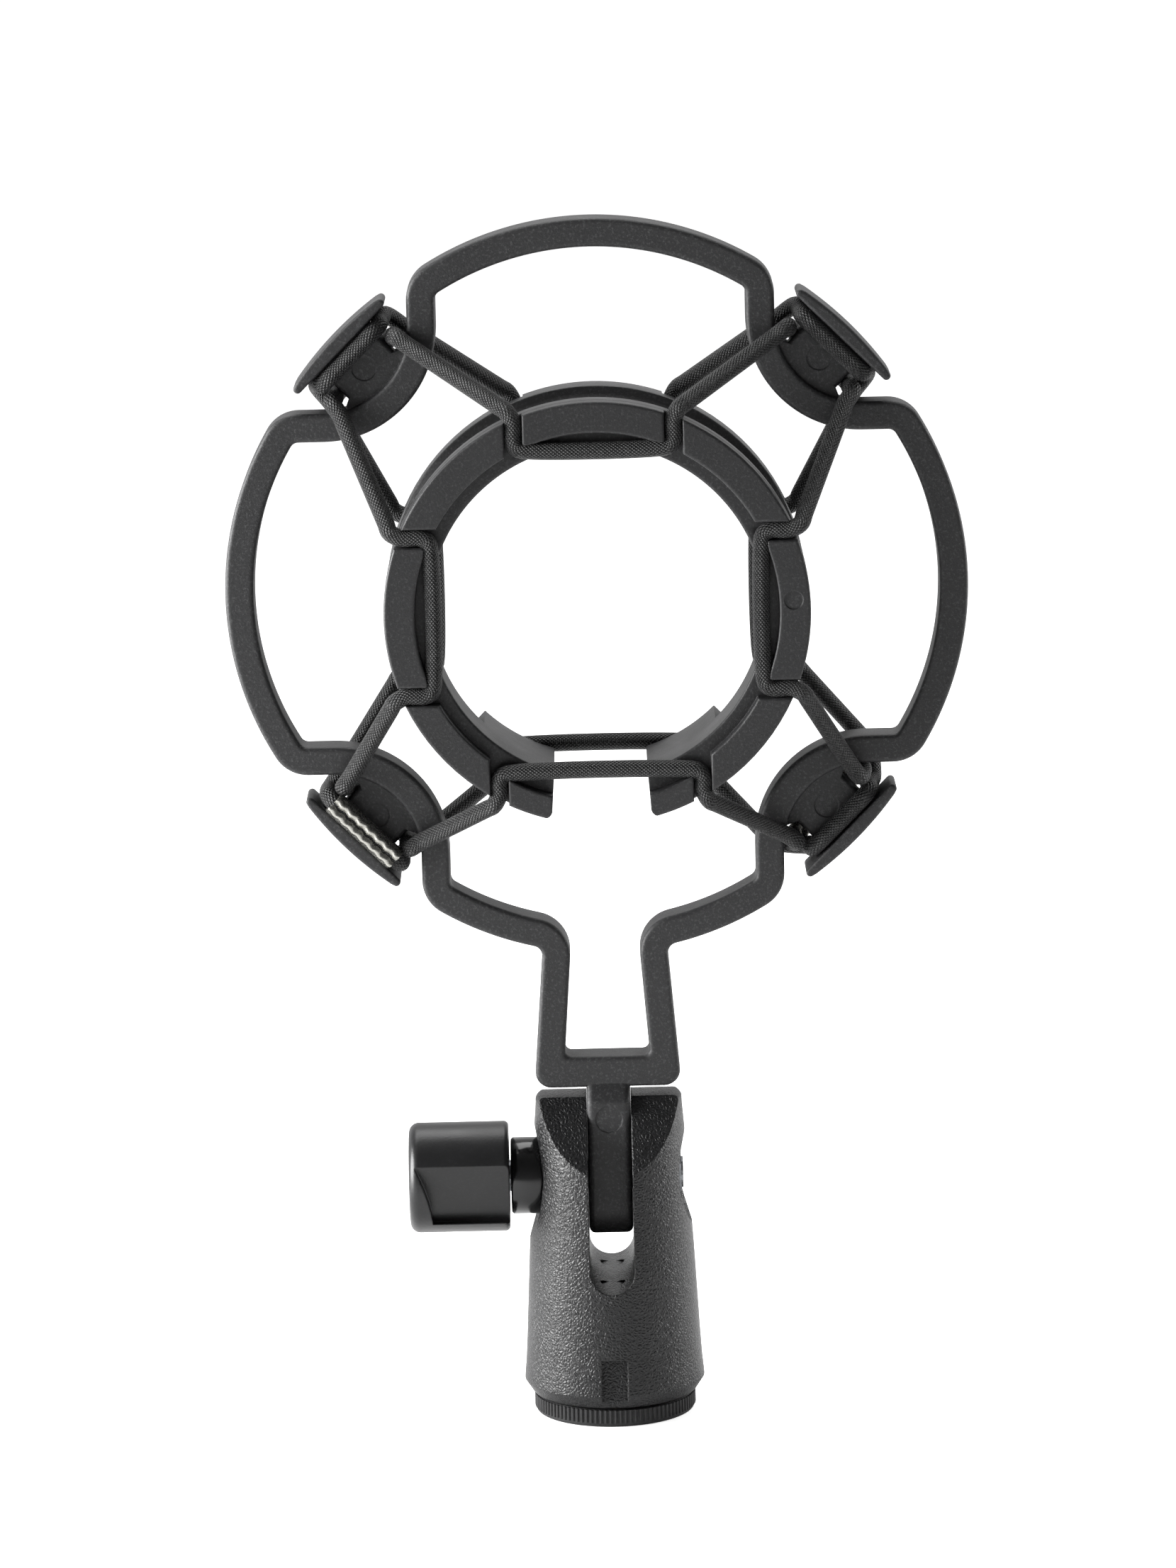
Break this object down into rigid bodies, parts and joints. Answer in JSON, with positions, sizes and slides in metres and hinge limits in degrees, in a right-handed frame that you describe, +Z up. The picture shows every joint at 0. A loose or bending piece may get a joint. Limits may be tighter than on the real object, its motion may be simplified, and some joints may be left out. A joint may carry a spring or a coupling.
{
  "type": "microphone shock mount",
  "caption": "Spider shock mount for a side-address microphone: a sprung C-ring hung on elastic cord in a lobed hoop, on a tilting stand adapter.",
  "frame": {"origin": "centre of the stand thread's mouth, on the flat bottom face of the fluted thread adapter", "axes": "+Z up along the stand thread and through the upright hoop, -Y towards the front, +X to the viewer's right; the clamp knob is at -X and the tilt axis lies along X"},
  "size_m": [0.112, 0.0276, 0.1843],
  "materials": {
    "frame_plastic": "fine spark-eroded texture, matte charcoal black",
    "ring_plastic": "fine texture outside, smooth bore",
    "housing_plastic": "leather-grain moulded texture, semi-gloss",
    "adapter_plastic": "fluted, matte",
    "knob_plastic": "fine satin",
    "collar_plastic": "smooth gloss",
    "cord_braid": "braided elastic cord with light flecks",
    "ferrule_nickel": "bright nickel, crimped",
    "insert_brass": "turned and threaded",
    "bolt_zinc": "zinc plated"
  },
  "bodies": {
    "base": {"swivel_housing": "housing_plastic", "thread_insert": "insert_brass", "clamp_nut": "bolt_zinc"},
    "adapter": {"thread_adapter": "adapter_plastic"},
    "clamp": {"clamp_knob": "knob_plastic", "knob_collar": "collar_plastic", "clamp_bolt": "bolt_zinc"},
    "frame": {"outer_frame": "frame_plastic", "cord_front_loop": "cord_braid", "cord_rear_loop": "cord_braid", "ferrule_front_loop": "ferrule_nickel", "ferrule_rear_loop": "ferrule_nickel"},
    "ring": {"inner_ring": "ring_plastic"}
  },
  "joints": [
    {"name": "adapter_spin", "type": "hinge", "parent": "base", "child": "adapter", "pos_m": [0, 0, 0], "axis": [0, 0, 1], "continuous": true},
    {"name": "clamp_spin", "type": "hinge", "parent": "base", "child": "clamp", "pos_m": [0, 0, 0.037], "axis": [1, 0, 0], "continuous": true},
    {"name": "frame_tilt", "type": "hinge", "parent": "base", "child": "frame", "pos_m": [0, 0, 0.037], "axis": [1, 0, 0], "range_deg": [-90, 90]},
    {"name": "ring_float", "type": "slide", "parent": "frame", "child": "ring", "axis": [0, 1, 0], "range_m": [-0.004, 0.004], "stiffness_N_per_m": 200, "deforming": ["cord_front_loop", "cord_rear_loop"]}
  ]
}
